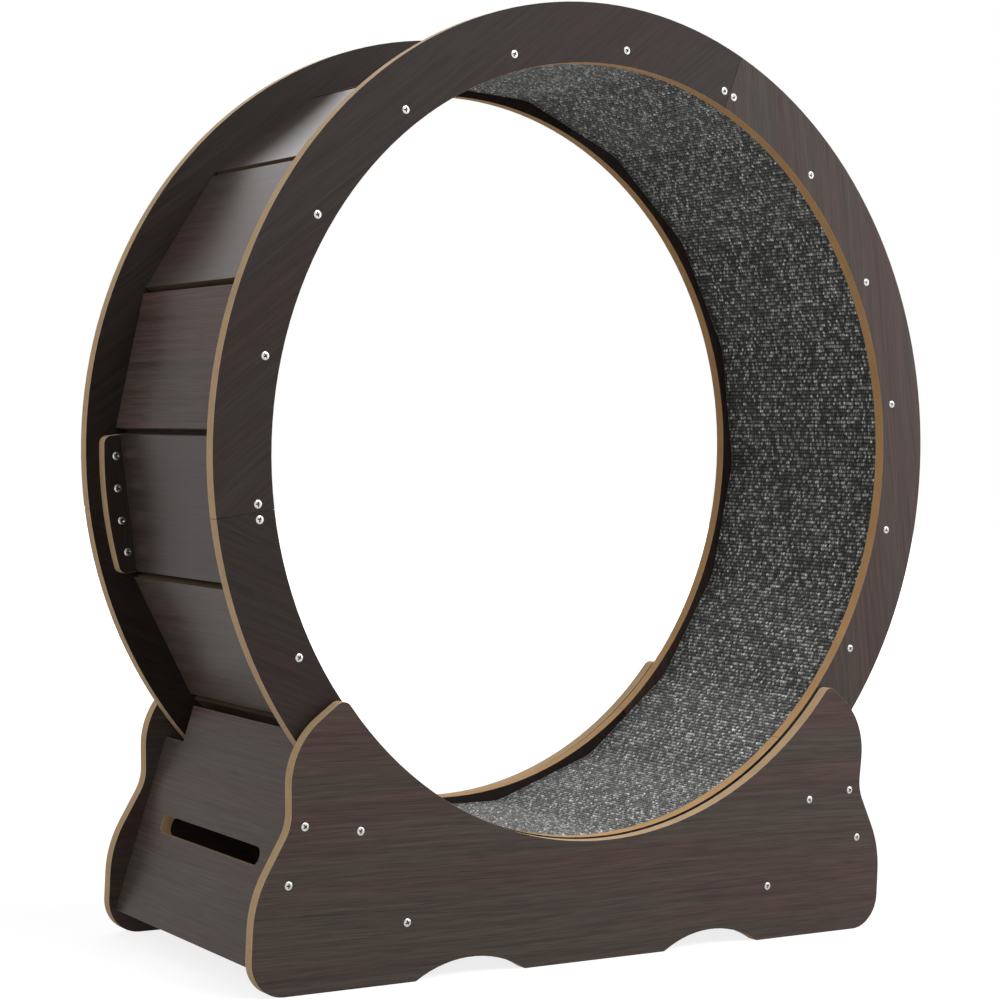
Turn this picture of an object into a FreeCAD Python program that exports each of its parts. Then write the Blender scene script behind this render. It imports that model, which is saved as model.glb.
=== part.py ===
import FreeCAD
import Part
import Sketcher
import math
import os
from FreeCAD import Placement, Rotation, Vector

# Cat exercise wheel: a runway wheel of boards that turns on four rollers in a low board base.
# Millimetres. X runs along the base, Y along the wheel's axis (front is -Y), Z is up.
# The origin is on the floor, midway along and across the base.

SIZES = [
    # the wheel
    ("wheel_outer_radius", 455, "side rings, outer edge"),
    ("ring_width", 60.5, "side rings, inner edge to outer edge"),
    ("ring_board", 12, "thickness of the side rings"),
    ("seam_gap", 0.4, "open joint between two ring segments"),
    ("runway_width", 260, "between the two side rings"),
    ("floor_clearance", 63, "under the wheel, down to the floor"),
    ("rest_angle", 10.15, "direction of the first slat, in degrees up from +X"),
    ("slat_count", 18, "slats round the runway"),
    ("segment_count", 3, "segments in a side ring"),
    ("slat_board", 12, "thickness of a slat"),
    ("slat_gap", 2.6, "open joint between two slats, at the runway"),
    ("slat_setback", 10.5, "slat's runway face from the rings' inner edge, at its middle"),
    ("seam_screw_offset", 7.2, "slat screws each side of a ring seam"),
    ("joint_plate_board", 12, "thickness of the plates behind the ring seams"),
    ("joint_plate_inset", 14.5, "joint plate's rounded outer edge from the ring's"),
    ("joint_plate_corner", 8, "rounded corners of a joint plate"),
    ("joint_screw_inset", 13.2, "joint plate screws from that edge"),
    ("joint_screw_angle", 4.4, "between two joint plate screws, in degrees"),
    ("carpet_pile", 3, "thickness of the carpet lining"),
    ("carpet_side_gap", 0.5, "carpet's edge to a side ring"),
    # the base
    ("running_gap", 3.4, "side ring to side plate"),
    ("plate_board", 12, "thickness of the side plates"),
    ("plate_cut_margin", 1.3, "side plate's round cut-out over the ring's inner radius"),
    ("plate_reach", 111.05, "rod to the widest stretch of a side plate, sideways"),
    ("plate_corner", 36, "rounding of the bottom corners"),
    ("plate_lobe_drop", 58.35, "rod down to where the widest stretch starts to draw in"),
    ("plate_lobe_round", 110, "rounding there"),
    ("plate_neck_reach", 75.05, "rod to the narrowest stretch, sideways"),
    ("plate_neck_rise", 8.15, "rod up to the narrowest stretch"),
    ("plate_neck_round", 45, "hollow rounding there"),
    ("plate_shoulder_reach", 79.55, "rod to the corner under the horn, sideways"),
    ("plate_shoulder_rise", 82.75, "rod up to that corner"),
    ("plate_shoulder_round", 74, "rounding of that corner"),
    ("plate_crest_reach", 10.55, "rod to the point that the horn's slope runs to, sideways"),
    ("plate_crest_rise", 135.75, "rod up to that point, inside the cut-out"),
    ("horn_nose", 10, "rounded tip of a horn"),
    ("arch_inset", 77.5, "cross stretcher to the middle of an arch, sideways"),
    ("arch_span", 130, "width of an arch at the floor"),
    ("arch_rise", 18, "height of an arch"),
    ("panel_board", 12, "thickness of the end panels"),
    ("panel_angle", 15.4, "lean of an end panel, in degrees, top inwards"),
    ("panel_foot_reach", 103.9, "rod to where an end panel's middle plane meets the floor, sideways"),
    ("panel_bottom", 24.6, "panel's lower edge, up the slope from the floor"),
    ("panel_clearance", 6, "panel's notches and upper edge to what turns over them"),
    ("panel_top_gap", 12, "panel's upper part to the joint plates' way round"),
    ("handle_rise", 98.3, "handle slot's middle from the panel's lower edge"),
    ("handle_length", 205, "handle slot, end to end"),
    ("handle_width", 18.5, "handle slot's width, with round ends"),
    ("panel_screw_rise", 82.1, "lower panel screws from the panel's lower edge"),
    ("panel_screw_spacing", 55.6, "lower panel screws to the upper ones"),
    ("stretcher_inset", 56.95, "rod to a cross stretcher, sideways"),
    ("stretcher_height", 57.8, "middle of a cross stretcher above the floor"),
    ("stretcher_board", 12, "thickness of a stretcher"),
    ("stretcher_depth", 50, "upright width of a stretcher"),
    # rollers
    ("roller_angle", 38.1, "rollers each side of straight down, in degrees"),
    ("roller_gap", 0.3, "tread to ring"),
    ("roller_tread_radius", 13.8, "running surface of a roller"),
    ("tyre_wall", 2.5, "rubber tread's thickness"),
    ("flange_radius", 20, "roller's flanges"),
    ("flange_board", 2, "thickness of a flange"),
    ("groove_gap", 0.5, "ring's face to a flange"),
    ("axle_radius", 4, "axle rod"),
    ("bore_gap", 0.1, "axle rod to a roller's bore"),
    ("collar_radius", 7.5, "collars that hold the rollers along the rod"),
    ("collar_width", 8, "width of a collar"),
    ("collar_gap", 0.3, "collar to roller"),
    ("seat_gap", 0.05, "between pieces pushed together"),
    # screws
    ("screw_head_radius", 4, "screw head"),
    ("screw_shank_radius", 1.9, "screw shank"),
    ("screw_hole_gap", 0.1, "screw to the wood round it"),
    ("screw_crown", 0.8, "height of the crowned head over the board"),
    ("screw_crown_radius", 3.1, "flat on top of the crown"),
    ("screw_bite", 25, "long screws, past the board that they hold"),
    ("short_screw_bite", 10, "joint plate screws, past the joint plate"),
    ("cross_length", 4.6, "cross recess, tip to tip"),
    ("cross_width", 0.9, "cross recess, width of an arm"),
    ("cross_depth", 1.6, "cross recess, depth"),
]

doc = FreeCAD.newDocument("CatWheel")
sheet = doc.addObject("Spreadsheet::Sheet", "Sizes")
for row, (alias, value, note) in enumerate(SIZES, start=1):
    sheet.set("A%d" % row, alias)
    sheet.set("B%d" % row, str(value))
    sheet.set("C%d" % row, note)
    sheet.setAlias("B%d" % row, alias)
doc.recompute()


class Size:
    """A number worked out from the sheet, with the expression that gives it."""

    def __init__(self, value, text):
        self.value = float(value)
        self.text = text

    @staticmethod
    def of(thing):
        if isinstance(thing, Size):
            return thing
        return Size(thing, repr(thing))

    def __add__(self, other):
        other = Size.of(other)
        return Size(self.value + other.value, "(%s + %s)" % (self.text, other.text))

    def __sub__(self, other):
        other = Size.of(other)
        return Size(self.value - other.value, "(%s - %s)" % (self.text, other.text))

    def __mul__(self, other):
        other = Size.of(other)
        return Size(self.value * other.value, "(%s * %s)" % (self.text, other.text))

    def __truediv__(self, other):
        other = Size.of(other)
        return Size(self.value / other.value, "(%s / %s)" % (self.text, other.text))

    def __rmul__(self, other):
        return Size.of(other) * self

    def __rtruediv__(self, other):
        return Size.of(other) / self

    def __rsub__(self, other):
        return Size.of(other) - self

    def __neg__(self):
        return Size(-self.value, "(-1 * %s)" % self.text)

    def __float__(self):
        return self.value


def size(alias):
    return Size(sheet.get(alias), "Sizes." + alias)


def sine(angle):
    return Size(math.sin(math.radians(float(angle))), "sin(%s)" % Size.of(angle).text)


def cosine(angle):
    return Size(math.cos(math.radians(float(angle))), "cos(%s)" % Size.of(angle).text)


def root(number):
    return Size(math.sqrt(float(number)), "sqrt(%s)" % Size.of(number).text)


def bind(thing, **places):
    """Binds properties to sizes: Length=size, or Placement__Base__x=size."""
    for place, value in places.items():
        thing.setExpression(place.replace("__", "."), Size.of(value).text)
    return thing


# Sizes that follow from the sheet

TOUCHING = 0.01
SCREW_SPIN = 37.0
JOINT_SCREWS = 4

slat_total = round(float(size("slat_count")))
segment_total = round(float(size("segment_count")))
slats_per_segment = slat_total // segment_total
seam_slats = [slats_per_segment // 2 + n * slats_per_segment for n in range(segment_total)]
pitch = 360.0 / slat_total
rest_angle = float(size("rest_angle"))
half_pitch = 180.0 / size("slat_count")

wheel_height = size("floor_clearance") + size("wheel_outer_radius")
ring_inner_radius = size("wheel_outer_radius") - size("ring_width")
slat_inner = ring_inner_radius + size("slat_setback")
slat_middle = slat_inner + size("slat_board") / 2
slat_outer = slat_inner + size("slat_board")
slat_width = 2 * slat_inner * sine(half_pitch) / cosine(half_pitch) - size("slat_gap")
slat_corner = root(slat_outer * slat_outer + slat_width * slat_width / 4)
joint_plate_radius = size("wheel_outer_radius") - size("joint_plate_inset")
joint_screw_radius = joint_plate_radius - size("joint_screw_inset")
runway_half = size("runway_width") / 2
ring_face = runway_half + size("ring_board")
joint_inner_face = runway_half - size("joint_plate_board")

plate_inner_face = ring_face + size("running_gap")
plate_face = plate_inner_face + size("plate_board")
cut_out_radius = ring_inner_radius + size("plate_cut_margin")
axle_distance = size("wheel_outer_radius") + size("roller_gap") + size("roller_tread_radius")
axle_x = axle_distance * sine(size("roller_angle"))
axle_z = wheel_height - axle_distance * cosine(size("roller_angle"))
roller_outer_face = ring_face + size("groove_gap") + size("flange_board")
roller_inner_face = runway_half - size("groove_gap") - size("flange_board")
stretcher_place = axle_x - size("stretcher_inset")
arch_middle = stretcher_place - size("arch_inset")

screw_length = size("ring_board") + size("screw_bite")
short_screw_length = size("joint_plate_board") + size("short_screw_bite")
wheel_centre = Vector(0, 0, float(wheel_height))


def panel_stop(radius):
    """How far up the slope the inner edge of an end panel comes to a radius of the wheel."""
    lean, half = size("panel_angle"), size("panel_board") / 2
    x = panel_foot - half * cosine(lean)
    z = -half * sine(lean) - wheel_height
    along = z * cosine(lean) - x * sine(lean)
    return -along - root(along * along - x * x - z * z + radius * radius)


panel_foot = axle_x + size("panel_foot_reach")
panel_notch = panel_stop(size("wheel_outer_radius") + size("panel_clearance"))
panel_top = panel_stop(slat_corner + size("panel_clearance"))
panel_top_half_width = joint_inner_face - size("panel_top_gap")
panel_screw_low = size("panel_bottom") + size("panel_screw_rise")
panel_screw_high = panel_screw_low + size("panel_screw_spacing")
handle_middle = size("panel_bottom") + size("handle_rise")


def turned(angle):
    """Rotation that carries +X to a direction given in degrees from +X up towards +Z."""
    return Rotation(Vector(0, -1, 0), angle)


def on_wheel(radius, angle, y):
    """Point of the wheel at a radius, a direction and a place along the axis."""
    return wheel_centre + turned(angle).multVec(Vector(float(radius), 0, 0)) + Vector(0, float(y), 0)


def slat_angle(number):
    return rest_angle + pitch * number


# Sketches

def body_with_plane(name, role):
    """A body and a sketch on one of its own origin planes."""
    body = doc.addObject("PartDesign::Body", name)
    doc.recompute()
    plane = next(p for p in body.Origin.OriginFeatures if p.Role == role)
    return body, plane


def new_sketch(body, plane, name):
    sketch = body.newObject("Sketcher::SketchObject", name)
    sketch.AttachmentSupport = [(plane, "")]
    sketch.MapMode = "FlatFace"
    return sketch


def datum(sketch, kind, *where, to):
    """Adds a sized constraint and binds it to its size."""
    number = sketch.addConstraint(Sketcher.Constraint(kind, *where, float(to)))
    sketch.setExpression("Constraints[%d]" % number, Size.of(to).text)


def mirrored_polygon(sketch, corners):
    """Closed outline from the right half's corners (low to high), mirrored about the vertical axis."""
    right = [(float(x), float(z)) for x, z in corners]
    points = right + [(-x, z) for x, z in reversed(right)]
    count = len(points)
    for n in range(count):
        a, b = points[n], points[(n + 1) % count]
        sketch.addGeometry(Part.LineSegment(Vector(a[0], a[1], 0), Vector(b[0], b[1], 0)), False)
    for n in range(count):
        sketch.addConstraint(Sketcher.Constraint("Coincident", n, 2, (n + 1) % count, 1))
    for n, (x, z) in enumerate(corners):
        datum(sketch, "DistanceX", -1, 1, n, 1, to=x)
        if float(z) == 0:
            sketch.addConstraint(Sketcher.Constraint("PointOnObject", n, 1, -1))
        else:
            datum(sketch, "DistanceY", -1, 1, n, 1, to=z)
        sketch.addConstraint(Sketcher.Constraint("Symmetric", n, 1, count - 1 - n, 1, -2))


def circle(sketch, x, z, radius):
    ring = Part.Circle(Vector(float(x), float(z), 0), Vector(0, 0, 1), float(radius))
    number = sketch.addGeometry(ring, False)
    datum(sketch, "Radius", number, to=radius)
    if float(x) == 0:
        sketch.addConstraint(Sketcher.Constraint("PointOnObject", number, 3, -2))
    else:
        datum(sketch, "DistanceX", -1, 1, number, 3, to=x)
    datum(sketch, "DistanceY", -1, 1, number, 3, to=z)


def pad(body, sketch, length, both_ways=False):
    feature = body.newObject("PartDesign::Pad", sketch.Name + "_pad")
    feature.Profile = sketch
    if both_ways:
        feature.SideType = "Symmetric"
    bind(feature, Length=length)
    doc.recompute()
    return feature


def pocket_through(body, sketch):
    """Cuts a sketch right through the body, both ways from its plane."""
    feature = body.newObject("PartDesign::Pocket", sketch.Name + "_pocket")
    feature.Profile = sketch
    feature.Type = "ThroughAll"
    feature.SideType = "Symmetric"
    before = body.Shape.Volume
    doc.recompute()
    if "Invalid" in feature.State or body.Shape.Volume >= before:
        raise RuntimeError(sketch.Name + " cut nothing")
    return feature


def edges_across(shape, corners, tell, slack=0.5):
    """Names of the straight edges across a board that pass through given corners of its outline."""
    names = []
    for number, edge in enumerate(shape.Edges, start=1):
        if len(edge.Vertexes) != 2 or edge.Curve.TypeId != "Part::GeomLine":
            continue
        ends = [tell(v.Point) for v in edge.Vertexes]
        for corner in corners:
            if all((end - corner).Length < slack for end in ends):
                names.append("Edge%d" % number)
    return names


def add_fillet(body, names, radius):
    """Rounds the named edges of the body as it stands."""
    tip = body.Tip
    fillet = body.newObject("PartDesign::Fillet", body.Name + "_round")
    fillet.Base = (tip, names)
    bind(fillet, Radius=radius)
    doc.recompute()
    if "Invalid" in fillet.State:
        raise RuntimeError("%s: a corner can't be rounded" % body.Name)


def round_corners(body, corners, radius, tell):
    """Fillets the board's edges at the corners, given in the sketch's plane and mirrored."""
    right = [Vector(float(x), float(z), 0) for x, z in corners]
    both = right + [Vector(-p.x, p.y, 0) for p in right]
    names = edges_across(body.Shape, both, tell)
    if len(names) != len(both):
        raise RuntimeError("%s: %d edges for %d corners" % (body.Name, len(names), len(both)))
    add_fillet(body, names, radius)


def in_xz(point):
    return Vector(point.x, point.z, 0)


# Screws

def make_screw(name, length):
    """A countersunk screw with a crowned head and a cross recess, along +Z down to -length."""
    taper = size("screw_head_radius") - size("screw_shank_radius")
    shank = bind(doc.addObject("Part::Cylinder", name + "_shank"), Radius=size("screw_shank_radius"),
                 Height=length, Placement__Base__z=-length)
    cone = bind(doc.addObject("Part::Cone", name + "_cone"), Radius1=size("screw_shank_radius"),
                Radius2=size("screw_head_radius"), Height=taper, Placement__Base__z=-taper)
    crown = bind(doc.addObject("Part::Cone", name + "_crown"), Radius1=size("screw_head_radius"),
                 Radius2=size("screw_crown_radius"), Height=size("screw_crown"))
    solid = doc.addObject("Part::MultiFuse", name + "_solid")
    solid.Shapes = [shank, cone, crown]
    arms = []
    for number in range(2):
        arm = bind(doc.addObject("Part::Box", "%s_arm%d" % (name, number)), Height=size("cross_depth"),
                   Placement__Base__z=size("screw_crown") - size("cross_depth"))
        long_side, short_side = ("Length", "Width") if number == 0 else ("Width", "Length")
        long_axis, short_axis = ("x", "y") if number == 0 else ("y", "x")
        bind(arm, **{long_side: size("cross_length"), short_side: size("cross_width"),
                     "Placement__Base__" + long_axis: -size("cross_length") / 2,
                     "Placement__Base__" + short_axis: -size("cross_width") / 2})
        arms.append(arm)
    cross = doc.addObject("Part::MultiFuse", name + "_cross")
    cross.Shapes = arms
    screw = doc.addObject("Part::Cut", name)
    screw.Base = solid
    screw.Tool = cross
    return screw


def make_hole(name, length):
    """What a screw is cut out of the boards with: the screw's outline and its clearance."""
    wide = size("screw_shank_radius") + size("screw_hole_gap")
    head = size("screw_head_radius") + size("screw_hole_gap")
    deep = length + size("screw_hole_gap")
    drill = bind(doc.addObject("Part::Cylinder", name + "_drill"), Radius=wide, Height=deep,
                 Placement__Base__z=-deep)
    sink = bind(doc.addObject("Part::Cone", name + "_sink"), Radius1=wide, Radius2=head,
                Height=head - wide, Placement__Base__z=wide - head)
    hole = doc.addObject("Part::MultiFuse", name)
    hole.Shapes = [drill, sink]
    return hole


long_screw = make_screw("long_screw", screw_length)
short_screw = make_screw("short_screw", short_screw_length)
long_hole = make_hole("long_hole", screw_length)
short_hole = make_hole("short_hole", short_screw_length)
doc.recompute()


def group(name, master, seats):
    """Copies of a screw or hole, one at each seat: a point on the board's face and the way in."""
    copies = []
    for number, (point, way) in enumerate(seats):
        spun = Rotation(Vector(0, 0, 1), SCREW_SPIN * number)
        copy = master.Shape.copy()
        copy.Placement = Placement(point, Rotation(Vector(0, 0, -1), way).multiply(spun))
        copies.append(copy)
    feature = doc.addObject("Part::Feature", name)
    feature.Shape = Part.makeCompound(copies)
    return feature


def slat_screw_seats(side):
    """Seats of one side ring's screws; side is -1 at the front and 1 at the rear."""
    seats = []
    step = math.degrees(float(size("seam_screw_offset")) / float(slat_middle))
    for number in range(slat_total):
        steps = (-step, step) if number in seam_slats else (0,)
        for extra in steps:
            point = on_wheel(slat_middle, slat_angle(number) + extra, side * float(ring_face))
            seats.append((point, Vector(0, -side, 0)))
    return seats


def joint_screw_seats(side):
    """Seats of the screws through one side's joint plates, four in each."""
    seats = []
    for number in seam_slats:
        for step in range(JOINT_SCREWS):
            off_middle = step - (JOINT_SCREWS - 1) / 2
            angle = slat_angle(number) + off_middle * float(size("joint_screw_angle"))
            point = on_wheel(joint_screw_radius, angle, side * float(joint_inner_face))
            seats.append((point, Vector(0, side, 0)))
    return seats


def panel_point(slope):
    """Place (x, z) on the right end panel's middle plane, at a distance up its slope."""
    lean = size("panel_angle")
    return panel_foot - slope * sine(lean), slope * cosine(lean)


def plate_screw_seats(side):
    """Seats of one side plate's screws: two for each panel, one for each rod and stretcher."""
    places = [panel_point(panel_screw_low), panel_point(panel_screw_high),
              (axle_x, axle_z), (stretcher_place, size("stretcher_height"))]
    return [(Vector(end * float(x), side * float(plate_face), float(z)), Vector(0, -side, 0))
            for end in (-1, 1) for x, z in places]


SIDES = ("front", "rear")
ENDS = ("left", "right")
SEGMENTS = ("right", "top", "bottom")
SEAMS = ("upper", "left", "lower")
nodes = []


def way_of(name):
    """-1 for the front and the left, 1 for the rear and the right."""
    return -1 if name in (SIDES[0], ENDS[0]) else 1


def keep(feature, label):
    """Marks an object as one of the wheel's pieces."""
    feature.Label = label
    nodes.append(feature)
    return feature


def drilled(blank, label, *holes):
    """Cuts screw holes out of a board and keeps the result as a piece."""
    tool = holes[0]
    if len(holes) > 1:
        tool = doc.addObject("Part::Compound", label + "_holes")
        tool.Links = list(holes)
    cut = doc.addObject("Part::Cut", label + "_drilled")
    cut.Base = blank
    cut.Tool = tool
    return keep(cut, label)


slat_holes = {}
joint_holes = {}
plate_holes = {}
for side_name in SIDES:
    side = way_of(side_name)
    slat_holes[side] = group("slat_holes_" + side_name, long_hole, slat_screw_seats(side))
    joint_holes[side] = group("joint_holes_" + side_name, short_hole, joint_screw_seats(side))
    plate_holes[side] = group("plate_holes_" + side_name, long_hole, plate_screw_seats(side))
    keep(group("slat_screw_set_" + side_name, long_screw, slat_screw_seats(side)),
         side_name + "_ring_screws")
    keep(group("joint_screw_set_" + side_name, short_screw, joint_screw_seats(side)),
         side_name + "_joint_plate_screws")
    keep(group("plate_screw_set_" + side_name, long_screw, plate_screw_seats(side)),
         side_name + "_base_screws")


# Wheel

def place_on_wheel(thing, angle, y):
    """Turns a piece that is drawn along +X about the wheel's axis and sets it along the axis."""
    thing.Placement = Placement(Vector(), turned(angle))
    bind(thing, Placement__Base__y=y, Placement__Base__z=wheel_height)


def make_ring_segment(label, angle, side):
    """A third of a side ring, drawn round +X and padded towards -Y."""
    body, plane = body_with_plane(label + "_board", "XZ_Plane")
    sketch = new_sketch(body, plane, label + "_outline")
    outer, inner = size("wheel_outer_radius"), ring_inner_radius
    half = math.pi / segment_total
    ends = []
    for radius in (outer, inner):
        bend = half - float(size("seam_gap")) / 2 / float(radius)
        arc = Part.ArcOfCircle(Part.Circle(Vector(), Vector(0, 0, 1), float(radius)), -bend, bend)
        ends.append((arc.StartPoint, arc.EndPoint))
        sketch.addGeometry(arc, False)
    sketch.addGeometry(Part.LineSegment(ends[0][0], ends[1][0]), False)
    sketch.addGeometry(Part.LineSegment(ends[0][1], ends[1][1]), False)
    for arc, radius in enumerate((outer, inner)):
        sketch.addConstraint(Sketcher.Constraint("Coincident", arc, 3, -1, 1))
        datum(sketch, "Radius", arc, to=radius)
        for line, end in ((2, 1), (3, 2)):
            sketch.addConstraint(Sketcher.Constraint("Coincident", arc, end, line, 1 + arc))
        sketch.addConstraint(Sketcher.Constraint("Symmetric", arc, 1, arc, 2, -1))
        bend = 180.0 / size("segment_count") - size("seam_gap") / 2 / radius * (180.0 / math.pi)
        datum(sketch, "DistanceX", -1, 1, arc, 2, to=radius * cosine(bend))
    pad(body, sketch, size("ring_board"))
    place_on_wheel(body, angle, -runway_half if side < 0 else ring_face)
    drilled(body, label, slat_holes[side], joint_holes[side])


def make_slat(number):
    """A flat slat of the runway, screwed through both side rings into its ends."""
    label = "slat_%02d" % (number + 1)
    angle = slat_angle(number)
    blank = bind(doc.addObject("Part::Box", label + "_board"), Length=size("slat_board"),
                 Width=size("runway_width"), Height=slat_width)
    middle = doc.addObject("Part::Compound", label + "_blank")
    bind(blank, Placement__Base__x=slat_inner, Placement__Base__y=-runway_half,
         Placement__Base__z=-slat_width / 2)
    middle.Links = [blank]
    place_on_wheel(middle, angle, 0)
    drilled(middle, label, slat_holes[-1], slat_holes[1])


def make_joint_plate(label, number, side):
    """The plate behind a ring seam: flat on the slat, rounded at its outer edge."""
    body, plane = body_with_plane(label + "_board", "XZ_Plane")
    sketch = new_sketch(body, plane, label + "_outline")
    half, radius = slat_width / 2, joint_plate_radius
    foot = slat_outer + size("seat_gap")
    edge = root(radius * radius - half * half)
    bend = math.asin(float(half) / float(radius))
    rim = Part.Circle(Vector(), Vector(0, 0, 1), float(radius))
    sketch.addGeometry(Part.ArcOfCircle(rim, -bend, bend), False)
    corners = [Vector(float(edge), -float(half), 0), Vector(float(foot), -float(half), 0),
               Vector(float(foot), float(half), 0), Vector(float(edge), float(half), 0)]
    for a, b in zip(corners, corners[1:]):
        sketch.addGeometry(Part.LineSegment(a, b), False)
    for a, end, b, start in ((0, 1, 1, 1), (1, 2, 2, 1), (2, 2, 3, 1), (3, 2, 0, 2)):
        sketch.addConstraint(Sketcher.Constraint("Coincident", a, end, b, start))
    sketch.addConstraint(Sketcher.Constraint("Coincident", 0, 3, -1, 1))
    datum(sketch, "Radius", 0, to=radius)
    for line in (1, 3):
        sketch.addConstraint(Sketcher.Constraint("Horizontal", line))
    sketch.addConstraint(Sketcher.Constraint("Symmetric", 2, 1, 2, 2, -1))
    datum(sketch, "DistanceY", 2, 1, 2, 2, to=slat_width)
    datum(sketch, "DistanceX", -1, 1, 2, 2, to=foot)
    pad(body, sketch, size("joint_plate_board"))
    names = edges_across(body.Shape, [corners[0], corners[3]], in_xz)
    add_fillet(body, names, size("joint_plate_corner"))
    place_on_wheel(body, slat_angle(number), -joint_inner_face if side < 0 else runway_half)
    drilled(body, label, joint_holes[side])


def make_prism(name, apothem, length):
    """A prism with a flat for each slat, along the wheel's axis."""
    prism = bind(doc.addObject("Part::Prism", name), Polygon=size("slat_count"),
                 Circumradius=apothem / cosine(half_pitch), Height=length)
    return prism


def make_carpet():
    """The carpet that lines the slats, a thin sleeve with a flat for each of them."""
    length = size("runway_width") - 2 * size("carpet_side_gap")
    sleeve = doc.addObject("Part::Cut", "carpet_sleeve")
    sleeve.Base = make_prism("carpet_back", slat_inner, length)
    sleeve.Tool = make_prism("carpet_face", slat_inner - size("carpet_pile"), length)
    upright = Rotation(Vector(1, 0, 0), -90)
    sleeve.Placement = Placement(Vector(), turned(rest_angle + pitch / 2).multiply(upright))
    bind(sleeve, Placement__Base__y=-length / 2, Placement__Base__z=wheel_height)
    keep(sleeve, "carpet_lining")


for side_name in SIDES:
    side = way_of(side_name)
    for number, place in enumerate(SEGMENTS):
        middle_slat = slats_per_segment * number
        make_ring_segment("%s_ring_%s" % (side_name, place), slat_angle(middle_slat), side)
    for number, place in enumerate(SEAMS):
        make_joint_plate("%s_joint_plate_%s" % (side_name, place), seam_slats[number], side)
for number in range(slat_total):
    make_slat(number)
make_carpet()


# Base

def make_side_plate(label, side):
    """A wavy side plate with two horns, a round cut-out for the runway and two low arches."""
    body, plane = body_with_plane(label + "_board", "XZ_Plane")
    corners = [
        (axle_x + size("plate_reach"), Size.of(0)),
        (axle_x + size("plate_reach"), axle_z - size("plate_lobe_drop")),
        (axle_x + size("plate_neck_reach"), axle_z + size("plate_neck_rise")),
        (axle_x + size("plate_shoulder_reach"), axle_z + size("plate_shoulder_rise")),
        (axle_x + size("plate_crest_reach"), axle_z + size("plate_crest_rise")),
    ]
    outline = new_sketch(body, plane, label + "_outline")
    mirrored_polygon(outline, corners)
    pad(body, outline, size("plate_board"))
    rounds = ("plate_corner", "plate_lobe_round", "plate_neck_round", "plate_shoulder_round")
    for corner, radius in zip(corners, rounds):
        round_corners(body, [corner], size(radius), in_xz)
    cut_out = new_sketch(body, plane, label + "_cut_out")
    circle(cut_out, 0, wheel_height, cut_out_radius)
    pocket_through(body, cut_out)
    arches = new_sketch(body, plane, label + "_arches")
    half_span, rise = size("arch_span") / 2, size("arch_rise")
    radius = (half_span * half_span + rise * rise) / (2 * rise)
    circle(arches, arch_middle, rise - radius, radius)
    circle(arches, -arch_middle, rise - radius, radius)
    pocket_through(body, arches)
    add_fillet(body, horn_edges(body.Shape), size("horn_nose"))
    bind(body, Placement__Base__y=-plate_inner_face if side < 0 else plate_face)
    drilled(body, label, plate_holes[side])


def horn_edges(shape):
    """Names of the two edges across the board where the cut-out meets the horns' slopes."""
    centre = in_xz(wheel_centre)
    names = []
    for number, edge in enumerate(shape.Edges, start=1):
        if len(edge.Vertexes) != 2 or edge.Curve.TypeId != "Part::GeomLine":
            continue
        ends = [in_xz(v.Point) for v in edge.Vertexes]
        on_cut = all(abs((end - centre).Length - float(cut_out_radius)) < TOUCHING for end in ends)
        if on_cut and (ends[0] - ends[1]).Length < TOUCHING:
            names.append("Edge%d" % number)
    if len(names) != 2:
        raise RuntimeError("%d horn tips found" % len(names))
    return names


def make_end_panel(label, end):
    """A leaning end panel: notched for the side rings, with a handle slot."""
    body, plane = body_with_plane(label + "_board", "YZ_Plane")
    corners = [
        (plate_inner_face, size("panel_bottom")),
        (plate_inner_face, panel_notch),
        (panel_top_half_width, panel_notch),
        (panel_top_half_width, panel_top),
    ]
    outline = new_sketch(body, plane, label + "_outline")
    mirrored_polygon(outline, corners)
    pad(body, outline, size("panel_board"), both_ways=True)
    slot = new_sketch(body, plane, label + "_handle_slot")
    handle_slot(slot)
    pocket_through(body, slot)
    body.Placement = Placement(Vector(), Rotation(Vector(0, -end, 0), 1))
    body.setExpression("Placement.Rotation.Angle", size("panel_angle").text)
    bind(body, Placement__Base__x=end * panel_foot)
    drilled(body, label, plate_holes[-1], plate_holes[1])


def handle_slot(sketch):
    """A slot with round ends, centred on the vertical axis."""
    radius = size("handle_width") / 2
    reach = size("handle_length") / 2 - radius
    low, high = float(handle_middle - radius), float(handle_middle + radius)
    x, r, z = float(reach), float(radius), float(handle_middle)
    sketch.addGeometry(Part.LineSegment(Vector(-x, low, 0), Vector(x, low, 0)), False)
    right = Part.Circle(Vector(x, z, 0), Vector(0, 0, 1), r)
    sketch.addGeometry(Part.ArcOfCircle(right, -math.pi / 2, math.pi / 2), False)
    sketch.addGeometry(Part.LineSegment(Vector(x, high, 0), Vector(-x, high, 0)), False)
    left = Part.Circle(Vector(-x, z, 0), Vector(0, 0, 1), r)
    sketch.addGeometry(Part.ArcOfCircle(left, math.pi / 2, math.pi * 3 / 2), False)
    for a, b in ((0, 1), (1, 2), (2, 3), (3, 0)):
        sketch.addConstraint(Sketcher.Constraint("Tangent", a, 2, b, 1))
    sketch.addConstraint(Sketcher.Constraint("Symmetric", 1, 3, 3, 3, -2))
    datum(sketch, "Radius", 1, to=radius)
    datum(sketch, "DistanceX", -1, 1, 1, 3, to=reach)
    datum(sketch, "DistanceY", -1, 1, 1, 3, to=handle_middle)


def make_stretcher(label, end):
    """A board on edge between the side plates, low in the base."""
    blank = bind(doc.addObject("Part::Box", label + "_board"), Length=size("stretcher_board"),
                 Width=2 * plate_inner_face, Height=size("stretcher_depth"),
                 Placement__Base__x=end * stretcher_place - size("stretcher_board") / 2,
                 Placement__Base__y=-plate_inner_face,
                 Placement__Base__z=size("stretcher_height") - size("stretcher_depth") / 2)
    drilled(blank, label, plate_holes[-1], plate_holes[1])


# Rollers

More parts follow.
